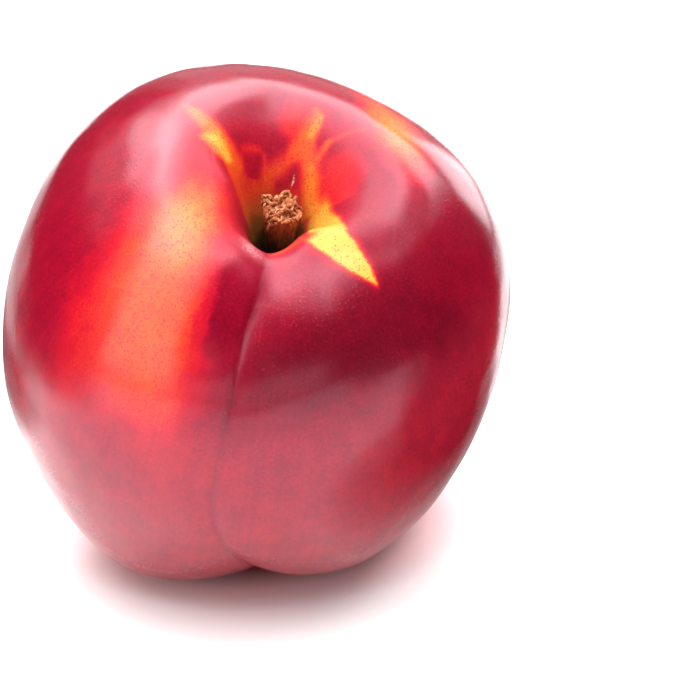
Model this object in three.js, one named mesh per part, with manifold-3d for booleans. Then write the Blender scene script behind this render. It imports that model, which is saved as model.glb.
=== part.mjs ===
// A whole nectarine with the stub of its stalk, lying on its lobes on a flat surface.
//
// Units are millimetres and +Z is up. The fruit is shaped in its own frame, with the stalk axis
// along +Z and the suture (the groove from stalk to tip) on the -Y side, and is then leaned and
// rolled into the pose in which it rests. The origin is at the level of the flat spot that it
// rests on, under the middle of the fruit's extent along X and Y. Azimuths are measured from -Y
// towards +X, and polar angles from +Z.

import * as THREE from 'three';
import { mergeVertices } from 'three/addons/utils/BufferGeometryUtils.js';
import Module from 'manifold-3d';

// ---- Driving dimensions --------------------------------------------------------------------

const HALF_WIDTH = 35.8; // across the cheeks
const HALF_THICKNESS = 35.5; // from the suture to the back
const TOP_HEIGHT = 33.5; // from the middle to the shoulders, before the cavity is sunk
const BASE_HEIGHT = 35; // from the middle to the tip
const SHOULDER_TAPER = 0.045; // how much wider the shoulders are than the tip end
const TIP_SHIFT = { x: -1.5, y: -2.5 }; // how far the tip lies off the stalk axis

// Swells and hollows of the flesh: where each is centred, how far it spreads and how high it is.
const SWELLS = {
  leftLobe: { azimuth: -30, polar: 124, spread: 19, height: 2.8 },
  rightLobe: { azimuth: 25, polar: 117, spread: 22, height: 1.7 },
  leftCheek: { azimuth: -90, polar: 85, spread: 40, height: -0.5 },
  rightCheek: { azimuth: 90, polar: 80, spread: 40, height: -2.5 },
  backLeft: { azimuth: -150, polar: 60, spread: 35, height: 2.4 },
  lowerLeft: { azimuth: -70, polar: 120, spread: 35, height: 1.8 },
  leftShoulder: { azimuth: -90, polar: 50, spread: 30, height: -0.9 },
  rightShoulder: { azimuth: 90, polar: 50, spread: 30, height: 3.6 },
};

// The suture: its azimuth, and its depth and width at the shoulder, the middle and the lobes.
const SUTURE_AZIMUTH = { upper: -12, lower: 3, turnsFrom: 75, turnsTo: 130 };
const SUTURE_DEPTH = { shoulder: 1.2, middle: 0.5, lobes: 2.8 };
const SUTURE_WIDTH = { shoulder: 5, middle: 5, lobes: 6.9 };

// The cavity that the stalk stands in. Its walls are gentle, apart from the steep ones named here.
const CAVITY_DEPTH = 18.3;
const OPEN_WALL = { radius: 8.7, steepness: 1.7 };
const STEEP_WALLS = {
  leftCheek: { azimuth: -63, spread: 44, radius: 5.1, steepness: 3 },
  rightCheek: { azimuth: 25, spread: 20, radius: 6, steepness: 2.3 },
};

// The stalk stub, cut off square and torn, in a socket in the cavity floor.
const STALK_RADIUS = 2.35;
const STALK_FOOT = { x: 1.1, y: 0.2, z: 13.2 };
const STALK_TOP = { x: 0.9, y: 0.1, z: 25 };
const STALK_SWELL = 0.1; // how much thicker the torn end is than the middle
const STALK_FIBRES = 7; // ridges round the stalk
const TORN_DEPTH = 0.9; // from the highest to the lowest fibre of the end
const SOCKET_GAP = 0.3;
const SOCKET_DEPTH = 7; // from below the foot to where the cavity is wider than the stalk

// The pose that it rests in.
const LEAN = 28; // stalk axis tipped towards -Y
const ROLL = 5; // stalk axis tipped towards +X
const REST_HEIGHT = 33.8; // of the middle of the fruit above the surface

// Fineness of the faceted skin.
const SKIN_COLUMNS = 72;
const CAVITY_RINGS = { count: 16, from: 3.5, to: 24 }; // polar angles of the cavity's finer rings
const FLANK_RINGS = 26;
const STALK_COLUMNS = 28;

// ---- Shape of the fruit --------------------------------------------------------------------

const { degToRad, smoothstep, lerp } = THREE.MathUtils;

function direction(azimuth, polar) {
  return new THREE.Vector3(
    Math.sin(azimuth) * Math.sin(polar),
    -Math.cos(azimuth) * Math.sin(polar),
    Math.cos(polar),
  );
}

// 1 at the centre of a patch of the sphere, falling smoothly to 0 beyond its spread in degrees.
function bump(cosineOfAngle, spread) {
  return Math.exp((cosineOfAngle - 1) / (1 - Math.cos(degToRad(spread))));
}

const swells = Object.values(SWELLS).map((swell) => ({
  ...swell,
  centre: direction(degToRad(swell.azimuth), degToRad(swell.polar)),
}));

function sutureAzimuth(polar) {
  const { upper, lower, turnsFrom, turnsTo } = SUTURE_AZIMUTH;
  return degToRad(lerp(upper, lower, smoothstep(polar, degToRad(turnsFrom), degToRad(turnsTo))));
}

// A size of the suture that changes from the shoulder over the middle to the lobes.
function alongSuture(sizes, rise) {
  const toShoulder = smoothstep(rise, 0.45, 0.92);
  const toLobes = smoothstep(-rise, 0, 0.55);
  return sizes.middle
    + (sizes.shoulder - sizes.middle) * toShoulder
    + (sizes.lobes - sizes.middle) * toLobes;
}

// How deep the suture is at a point of the flesh that lies at an angle round from its line.
function sutureDepth(point, fromSuture, rise) {
  const quarter = Math.PI / 2;
  const sideways = THREE.MathUtils.clamp(fromSuture, -quarter, quarter);
  const across = Math.hypot(point.x, point.y) * Math.sin(sideways);
  const fadeAtSides = 1 - smoothstep(Math.abs(fromSuture), Math.PI / 3, quarter);
  const fadeAtTip = 1 - smoothstep(-rise, 0.93, 1);
  const width = alongSuture(SUTURE_WIDTH, rise);
  const profile = Math.exp(-Math.sqrt(across ** 2 + 0.1) / width);
  return alongSuture(SUTURE_DEPTH, rise) * profile * fadeAtSides * fadeAtTip;
}

// How far the skin is sunk below the shoulders at a point near the stalk axis.
function cavityDepth(point, rise) {
  const azimuth = Math.atan2(point.x, -point.y);
  let { radius, steepness } = OPEN_WALL;
  for (const wall of Object.values(STEEP_WALLS)) {
    const share = bump(Math.cos(azimuth - degToRad(wall.azimuth)), wall.spread);
    radius += (wall.radius - OPEN_WALL.radius) * share;
    steepness += (wall.steepness - OPEN_WALL.steepness) * share;
  }
  const distance = Math.hypot(point.x, point.y);
  return CAVITY_DEPTH * Math.exp(-((distance / radius) ** steepness)) * smoothstep(rise, 0, 0.25);
}

// The point of the skin at a polar angle and at an angle round from the suture.
function skinPoint(polar, fromSuture) {
  const way = direction(fromSuture + sutureAzimuth(polar), polar);
  const rise = Math.cos(polar);
  const taper = 1 + SHOULDER_TAPER * rise;
  const towardsTip = ((1 - rise) / 2) ** 2;
  const height = rise > 0 ? TOP_HEIGHT : BASE_HEIGHT;
  const point = new THREE.Vector3(
    way.x * HALF_WIDTH * taper + TIP_SHIFT.x * towardsTip,
    way.y * HALF_THICKNESS * taper + TIP_SHIFT.y * towardsTip,
    rise * height,
  );
  for (const swell of swells) {
    point.addScaledVector(way, swell.height * bump(way.dot(swell.centre), swell.spread));
  }
  point.addScaledVector(way, -sutureDepth(point, fromSuture, rise));
  point.z -= cavityDepth(point, rise);
  return point;
}

// ---- Shape of the stalk --------------------------------------------------------------------

const stalkAxis = new THREE.LineCurve3(
  new THREE.Vector3(STALK_FOOT.x, STALK_FOOT.y, STALK_FOOT.z),
  new THREE.Vector3(STALK_TOP.x, STALK_TOP.y, STALK_TOP.z),
);

// The stalk's radius at a share of its height and an angle round it: ribbed, and wider at the end.
function stalkRadius(share, angle) {
  const waist = 1 - 0.06 * Math.sin(Math.PI * share);
  const tornEnd = 1 + STALK_SWELL * smoothstep(share, 0.6, 0.95);
  const ribs = 1 + 0.05 * Math.sin(STALK_FIBRES * angle + 4 * share) * smoothstep(share, 0.2, 0.6);
  const lopsided = 1 + 0.04 * Math.sin(2 * angle + 1);
  return STALK_RADIUS * waist * tornEnd * ribs * lopsided;
}

// How far the torn end stands above or below its mean height.
function tornHeight(reach, angle) {
  const lumps = Math.sin(3 * angle + 0.6) * reach + Math.sin(5 * angle + 2) * reach ** 2;
  return 0.5 * TORN_DEPTH * lumps * 0.5 - 0.45 * TORN_DEPTH * reach ** 4;
}

// Rings run from the middle of the foot, up the side, and in over the torn end to its middle.
function stalkPoint(ring, angle) {
  const { share, reach, onEnd } = ring;
  const centre = stalkAxis.getPoint(share);
  const radius = stalkRadius(share, angle) * reach;
  centre.x += radius * Math.sin(angle);
  centre.y -= radius * Math.cos(angle);
  if (onEnd) centre.z += tornHeight(reach, angle);
  return centre;
}

// ---- Faceted solids ------------------------------------------------------------------------

// A closed skin from rings of points, with one point at each end: rows of quads between the
// rings and a fan at each end. The rings run so that the faces point out.
function closedSkin(firstPoint, rings, lastPoint) {
  const columns = rings[0].length;
  const positions = [firstPoint, ...rings.flat(), lastPoint].flatMap((point) => point.toArray());
  const last = 1 + rings.length * columns;
  const at = (ring, column) => 1 + ring * columns + (column % columns);
  const faces = [];
  for (let column = 0; column < columns; column += 1) {
    faces.push(0, at(0, column), at(0, column + 1));
    for (let ring = 0; ring + 1 < rings.length; ring += 1) {
      const [a, b] = [at(ring, column), at(ring, column + 1)];
      const [c, d] = [at(ring + 1, column), at(ring + 1, column + 1)];
      faces.push(a, c, b, b, c, d);
    }
    faces.push(at(rings.length - 1, column), last, at(rings.length - 1, column + 1));
  }
  const geometry = new THREE.BufferGeometry();
  geometry.setAttribute('position', new THREE.Float32BufferAttribute(positions, 3));
  geometry.setIndex(faces);
  return geometry;
}

// Polar angles of the rings: close together in the cavity, evenly spaced over the flanks.
function skinRings() {
  const { count, from, to } = CAVITY_RINGS;
  const inCavity = Array.from({ length: count }, (_, i) => lerp(from, to, (i / (count - 1)) ** 1.3));
  const step = (180 - to) / (FLANK_RINGS + 1);
  const onFlanks = Array.from({ length: FLANK_RINGS }, (_, i) => to + step * (i + 1));
  return [...inCavity, ...onFlanks].map(degToRad);
}

// Angles round from the suture, closer together beside its line than at the back.
function skinColumns() {
  const half = SKIN_COLUMNS / 2;
  return Array.from({ length: SKIN_COLUMNS }, (_, i) => {
    const share = (i - half) / half;
    return Math.PI * Math.sign(share) * Math.abs(share) ** 1.25;
  });
}

function fruitGeometry() {
  const columns = skinColumns();
  const rings = skinRings().map((polar) => columns.map((angle) => skinPoint(polar, angle)));
  return closedSkin(skinPoint(0, 0), rings, skinPoint(Math.PI, 0));
}

function stalkGeometry() {
  const side = [0, 0.08, 0.2, 0.35, 0.5, 0.65, 0.78, 0.9, 0.97, 1];
  const rings = [
    { share: 0, reach: 0.6, onEnd: false },
    ...side.map((share) => ({ share, reach: 1, onEnd: share === 1 })),
    ...[0.8, 0.55, 0.28].map((reach) => ({ share: 1, reach, onEnd: true })),
  ];
  const angles = Array.from(
    { length: STALK_COLUMNS },
    (_, i) => (-2 * Math.PI * i) / STALK_COLUMNS,
  );
  const points = rings.map((ring) => angles.map((angle) => stalkPoint(ring, angle)));
  return closedSkin(stalkAxis.getPoint(0), points, stalkAxis.getPoint(1));
}

// ---- Cuts ----------------------------------------------------------------------------------

const wasm = await Module();
wasm.setup();

function toSolid(geometry) {
  const bare = geometry.clone();
  bare.deleteAttribute('normal');
  bare.deleteAttribute('uv');
  const merged = mergeVertices(bare);
  return new wasm.Manifold(new wasm.Mesh({
    numProp: 3,
    vertProperties: new Float32Array(merged.attributes.position.array),
    triVerts: new Uint32Array(merged.index.array),
  }));
}

function toGeometry(solid) {
  const mesh = solid.getMesh();
  const geometry = new THREE.BufferGeometry();
  geometry.setAttribute('position', new THREE.BufferAttribute(mesh.vertProperties, 3));
  geometry.setIndex(new THREE.BufferAttribute(mesh.triVerts, 1));
  geometry.computeVertexNormals();
  return geometry;
}

// The half space below the surface, as a slab wider than the fruit.
function slabBelowSurface() {
  const [width, depth] = [120, 20];
  return new THREE.BoxGeometry(width, width, depth).translate(0, 0, -depth / 2);
}

// The socket round the stalk's foot, a little wider and deeper than the foot.
function socketGeometry() {
  const radius = STALK_RADIUS * 1.1 + SOCKET_GAP;
  const middle = STALK_FOOT.z - SOCKET_GAP + SOCKET_DEPTH / 2;
  return new THREE.CylinderGeometry(radius, radius, SOCKET_DEPTH, STALK_COLUMNS)
    .rotateX(Math.PI / 2)
    .translate(STALK_FOOT.x, STALK_FOOT.y, middle);
}

function piece(name, geometry, finish) {
  const mesh = new THREE.Mesh(geometry, new THREE.MeshStandardMaterial(finish));
  mesh.name = name;
  return mesh;
}

// Leans and rolls a geometry from the fruit's own frame, and lifts it to its height at rest.
function leanAndLift(geometry) {
  return geometry
    .rotateY(degToRad(ROLL))
    .rotateX(degToRad(LEAN))
    .translate(0, 0, REST_HEIGHT);
}

const leaned = leanAndLift(fruitGeometry());
leaned.computeBoundingBox();
const middle = leaned.boundingBox.getCenter(new THREE.Vector3());
const overOrigin = (geometry) => geometry.translate(-middle.x, -middle.y, 0);

const stalk = overOrigin(leanAndLift(stalkGeometry()));
const fruit = toSolid(overOrigin(leaned))
  .subtract(toSolid(slabBelowSurface()))
  .subtract(toSolid(overOrigin(leanAndLift(socketGeometry()))));

const nectarine = new THREE.Group();
nectarine.name = 'nectarine';
nectarine.add(
  piece('fruit', toGeometry(fruit), { color: 0xa31a2e, roughness: 0.32, metalness: 0 }),
  piece('stalk', stalk, { color: 0x8a5a34, roughness: 0.85, metalness: 0 }),
);

export default nectarine;
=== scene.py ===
"""A whole ripe nectarine lying on its lobes, with the torn stub of its stalk in the cavity.

Sizes are in millimetres in the fruit's own frame, where the stalk axis is +Z and the suture is on
the -Y side. The finished meshes are in metres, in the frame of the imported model. Azimuths run from
-Y towards +X, and polar angles from +Z, both in degrees.
"""

from __future__ import annotations

import logging
import math
from collections.abc import Mapping
from dataclasses import dataclass, field
from enum import Enum
from typing import Any, ClassVar

import bpy
import numpy as np
from bpy.types import ID, Material, Node, NodeSocket, NodeTree, Object
from mathutils import Euler, Matrix, Vector

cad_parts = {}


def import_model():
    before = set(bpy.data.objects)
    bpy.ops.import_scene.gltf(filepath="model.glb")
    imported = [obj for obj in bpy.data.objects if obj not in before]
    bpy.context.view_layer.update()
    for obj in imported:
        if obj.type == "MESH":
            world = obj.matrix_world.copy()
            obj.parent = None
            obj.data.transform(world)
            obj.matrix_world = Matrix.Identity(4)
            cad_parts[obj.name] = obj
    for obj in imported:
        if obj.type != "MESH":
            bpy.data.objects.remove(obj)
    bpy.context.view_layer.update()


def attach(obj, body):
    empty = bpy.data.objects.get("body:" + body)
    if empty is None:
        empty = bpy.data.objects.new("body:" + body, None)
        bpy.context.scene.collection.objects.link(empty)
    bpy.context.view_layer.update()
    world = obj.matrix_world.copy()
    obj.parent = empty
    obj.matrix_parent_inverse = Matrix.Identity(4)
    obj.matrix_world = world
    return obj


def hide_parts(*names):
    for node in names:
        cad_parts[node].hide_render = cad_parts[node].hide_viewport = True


log = logging.getLogger("nectarine")

MM = 0.001
BODY = "root"
SMOOTH = "SMOOTHSTEP"
PANEL_GAP = 0.004  # metres from a light's panel to the next one before it

Array = np.ndarray
Point = tuple[float, float, float]
Spot = tuple[float, float]  # two numbers that go together: a place on a plane, or a span


# ---- Small helpers ---------------------------------------------------------------------------


def linear(colour: str) -> tuple[float, ...]:
    """Turns an sRGB hex colour into the linear red, green, blue and alpha that a shader takes."""
    levels = (int(colour[i : i + 2], 16) / 255 for i in (1, 3, 5))
    return (*(x / 12.92 if x <= 0.04045 else ((x + 0.055) / 1.055) ** 2.4 for x in levels), 1.0)


def smoothstep(value: Array, low: float, high: float) -> Array:
    """Rises smoothly from 0 where the value is low to 1 where it is high."""
    share = np.clip((value - low) / (high - low), 0.0, 1.0)
    return share * share * (3.0 - 2.0 * share)


def hump(distance: Array, width: float) -> Array:
    """Falls from 1 where the distance is 0 to 0 where it is well over the width."""
    return np.exp(-((distance / width) ** 2))


def bell(cosine: Array, spread: float) -> Array:
    """Falls from 1 where the cosine of an angle is 1, over a spread in degrees."""
    return np.exp((cosine - 1.0) / (1.0 - math.cos(math.radians(spread))))


def direction(azimuth: Array, polar: Array) -> Array:
    """Gives the unit vector at an azimuth and a polar angle.

    Args:
        azimuth: Angle from -Y towards +X, in radians.
        polar: Angle from +Z, in radians.

    Returns:
        The vectors, with x, y and z along the last axis.
    """
    across = np.sin(polar)
    parts = np.broadcast_arrays(np.sin(azimuth) * across, -np.cos(azimuth) * across, np.cos(polar))
    return np.stack(parts, axis=-1)


def patch_direction(azimuth: float, polar: float) -> Vector:
    """Gives the unit vector at an azimuth and a polar angle in degrees."""
    return Vector(direction(np.radians(azimuth), np.radians(polar)))


def rough_ground(points: Array, wavelength: float, seed: int) -> Array:
    """Gives a smooth random relief from a few plane waves.

    Args:
        points: Where to read it, in millimetres.
        wavelength: The usual distance from crest to crest, in millimetres.
        seed: Fixes the waves.

    Returns:
        The relief at each point, mostly between -1 and 1.
    """
    waves = np.random.default_rng(seed)
    total = np.zeros(points.shape[:-1])
    count = 9
    for _ in range(count):
        way = waves.normal(size=3)
        way *= 2 * math.pi / (wavelength * waves.uniform(0.7, 1.5) * np.linalg.norm(way))
        total += np.sin(points @ way + waves.uniform(0, 2 * math.pi))
    return total / math.sqrt(count)


@dataclass(frozen=True)
class Graph:
    """A node tree that is being filled."""

    tree: NodeTree

    def feed(self, node: Node, inputs: Mapping[str | int, Any]) -> None:
        """Fills a node's inputs.

        Args:
            node: The node.
            inputs: What goes into each input, by name or number: a value to set, a socket to link,
                or a node, which stands for the first of its outputs that is in use.
        """
        for key, value in inputs.items():
            if isinstance(value, Node):
                value = next(socket for socket in value.outputs if socket.enabled)
            if isinstance(value, NodeSocket):
                self.tree.links.new(value, node.inputs[key])
            else:
                node.inputs[key].default_value = value

    def add(
        self, kind: str, *values: Any, inputs: Mapping[str, Any] | None = None, **settings: Any
    ) -> Node:
        """Adds a node with its settings and links.

        Args:
            kind: The node's type name, where ShaderNode in front of it may be left out.
            *values: What goes into its inputs, from the first one on.
            inputs: What goes into its other inputs, by name.
            **settings: Properties of the node.

        Returns:
            The new node.
        """
        node = self.tree.nodes.new(kind if "Node" in kind else f"ShaderNode{kind}")
        for name, value in settings.items():
            setattr(node, name, value)
        self.feed(node, dict(enumerate(values)) | (inputs or {}))
        return node


def new_group(name: str, inputs: Mapping[str, str], result: str, use: str = "Shader") -> Graph:
    """Makes an empty node group.

    Args:
        name: The group's name.
        inputs: The kind of each input, by name.
        result: The kind of its one output.
        use: The kind of nodes that it holds.

    Returns:
        The group's nodes.
    """
    tree = bpy.data.node_groups.new(name, f"{use}NodeTree")
    for label, kind in inputs.items():
        tree.interface.new_socket(label, in_out="INPUT", socket_type=f"NodeSocket{kind}")
    tree.interface.new_socket("Result", in_out="OUTPUT", socket_type=f"NodeSocket{result}")
    return Graph(tree)


def paint_ramp(node: Node, stops: Mapping[float, str]) -> None:
    """Sets a colour ramp's stops.

    Args:
        node: The colour ramp node.
        stops: The sRGB hex colour at each position from 0 to 1.
    """
    ramp = node.color_ramp
    while len(ramp.elements) > 1:
        ramp.elements.remove(ramp.elements[0])
    for number, (position, colour) in enumerate(stops.items()):
        stop = ramp.elements[0] if number == 0 else ramp.elements.new(position)
        stop.position = position
        stop.color = linear(colour)


def new_material(name: str) -> tuple[Material, Graph, Node]:
    """Makes a material with one Principled shader joined to its output.

    Args:
        name: The material's name.

    Returns:
        The material, its nodes and the shader.
    """
    material = bpy.data.materials.new(name)
    material.use_nodes = True
    graph = Graph(material.node_tree)
    graph.tree.nodes.clear()
    shader = graph.add("BsdfPrincipled")
    graph.add("OutputMaterial", shader)
    return material, graph, shader


def closed_skin(
    first: Array, rings: Array, last: Array
) -> tuple[Array, list[tuple[int, ...]]]:
    """Joins rings of points into a closed skin with one point at each end.

    Args:
        first: The point before the first ring.
        rings: The rings' points, as an array of rings by columns by 3.
        last: The point after the last ring.

    Returns:
        All the points, and the faces between them, which point out.
    """
    ring_count, columns, _ = rings.shape
    points = np.concatenate([first[None], rings.reshape(-1, 3), last[None]])
    end = len(points) - 1
    faces: list[tuple[int, ...]] = []
    for column in range(columns):
        after = (column + 1) % columns
        faces.append((0, 1 + column, 1 + after))
        for ring in range(ring_count - 1):
            here, below = 1 + ring * columns, 1 + (ring + 1) * columns
            faces.append((here + column, below + column, below + after, here + after))
        lowest = 1 + (ring_count - 1) * columns
        faces.append((lowest + column, end, lowest + after))
    return points, faces


def new_object(name: str, data: ID) -> Object:
    """Makes an object and links it to the scene.

    Args:
        name: The object's name.
        data: Its mesh, light or camera.

    Returns:
        The object.
    """
    thing = bpy.data.objects.new(name, data)
    bpy.context.scene.collection.objects.link(thing)
    return thing


def smooth_piece(name: str, points: Array, faces: list[tuple[int, ...]]) -> Object:
    """Makes a smooth-shaded object at the origin.

    Args:
        name: The object's name.
        points: Its points in the row frame, in metres.
        faces: The points of each face.

    Returns:
        The object.
    """
    mesh = bpy.data.meshes.new(name)
    mesh.from_pydata(points.tolist(), [], faces)
    mesh.shade_smooth()
    mesh.update()
    return new_object(name, mesh)


# ---- The pose --------------------------------------------------------------------------------


@dataclass(frozen=True)
class RestPose:
    """How the fruit lies: its own frame is rolled, leaned, and lifted over the surface.

    Attributes:
        lean: Degrees that the stalk axis is tipped towards -Y.
        roll: Degrees that it is tipped towards +X.
        middle: Where the middle of the fruit is at rest, in millimetres.
    """

    lean: float = 28.0
    roll: float = 5.0
    middle: Point = (0.820, 0.929, 33.8)

    def turn(self) -> Matrix:
        """Gives the rotation from the fruit's frame to the row frame."""
        lean = Matrix.Rotation(math.radians(self.lean), 3, "X")
        roll = Matrix.Rotation(math.radians(self.roll), 3, "Y")
        return lean @ roll

    def place(self, points: Array) -> Array:
        """Moves points in the fruit's frame, in millimetres, to the row frame, in metres."""
        return (points @ np.array(self.turn()).T + np.array(self.middle)) * MM

    def fruit_frame(self, graph: Graph) -> Node:
        """Adds nodes that give a shading point in the fruit's frame, in millimetres.

        Args:
            graph: The material's nodes.

        Returns:
            The node that gives the point.
        """
        here = graph.add("TexCoord").outputs["Object"]
        middle, turn = Vector(self.middle) * MM, self.turn().to_euler("XYZ")
        return graph.add("Mapping", here, middle, turn, (MM, MM, MM), vector_type="TEXTURE")


# ---- The fruit's form ------------------------------------------------------------------------


@dataclass(frozen=True)
class Swell:
    """A swell or hollow of the flesh: where it is centred, how far it spreads, how high it is."""

    azimuth: float
    polar: float
    spread: float
    height: float


@dataclass(frozen=True)
class Wall:
    """A wall of the cavity: the azimuth it faces, how far it spreads, its radius and steepness."""

    azimuth: float
    spread: float
    radius: float
    steepness: float


@dataclass(frozen=True)
class Suture:
    """The groove from the cavity to the tip, at its shoulder, its middle and its lobes.

    Attributes:
        upper: The azimuth of its upper part.
        lower: The azimuth of its lower part.
        rim_turn: How far its end at the cavity's rim turns aside.
        rim: The polar angles between which that fades out.
        turns: The polar angles between which it turns from one to the other.
        depth: How deep it is at the shoulder, the middle and the lobes.
        width: How wide it is there.
        crease_depth: How deep the thin crease along its line is.
        crease_width: How wide that is.
    """

    upper: float = -12.0
    lower: float = 3.0
    rim_turn: float = 3.5
    rim: Spot = (24.0, 38.0)
    turns: Spot = (75.0, 130.0)
    depth: Point = (1.2, 0.5, 2.8)
    width: Point = (5.0, 5.0, 6.9)
    crease_depth: float = 0.07
    crease_width: float = 0.6

    def azimuth(self, polar: Array) -> Array:
        """Gives the azimuth of the suture's line.

        Args:
            polar: The polar angle, in radians.

        Returns:
            The azimuth at each polar angle, in radians.
        """
        share = smoothstep(polar, *np.radians(self.turns))
        at_rim = 1.0 - smoothstep(polar, *np.radians(self.rim))
        turned = self.upper + (self.lower - self.upper) * share + self.rim_turn * at_rim
        return np.radians(turned)

    def along(self, sizes: Point, rise: Array) -> Array:
        """Gives a size of the suture along its line.

        Args:
            sizes: The size at the shoulder, the middle and the lobes.
            rise: The cosine of the polar angle.

        Returns:
            The size at each rise.
        """
        shoulder, middle, lobes = sizes
        to_shoulder = smoothstep(rise, 0.45, 0.92)
        to_lobes = smoothstep(-rise, 0.0, 0.55)
        return middle + (shoulder - middle) * to_shoulder + (lobes - middle) * to_lobes

    def sunk(self, points: Array, from_line: Array, rise: Array) -> Array:
        """Gives how deep the suture is beside its line.

        Args:
            points: Points of the flesh, before the suture is sunk.
            from_line: Their angle round from the suture's line, in radians.
            rise: The cosine of their polar angle.

        Returns:
            The depth at each point, in millimetres.
        """
        quarter = math.pi / 2
        sideways = np.clip(from_line, -quarter, quarter)
        across = np.hypot(points[..., 0], points[..., 1]) * np.sin(sideways)
        at_sides = 1.0 - smoothstep(np.abs(from_line), math.pi / 3, quarter)
        at_tip = 1.0 - smoothstep(-rise, 0.93, 1.0)
        profile = np.exp(-np.sqrt(across**2 + 0.1) / self.along(self.width, rise))
        crease = self.crease_depth * hump(across, self.crease_width)
        return (self.along(self.depth, rise) * profile + crease) * at_sides * at_tip


@dataclass(frozen=True)
class Stalk:
    """Where the stub of the stalk stands, and the gap that the skin leaves round it."""

    foot: Point = (1.1, 0.2, 13.2)
    top: Point = (0.9, 0.1, 25.0)
    radius: float = 2.35
    gap: float = 0.3


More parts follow.
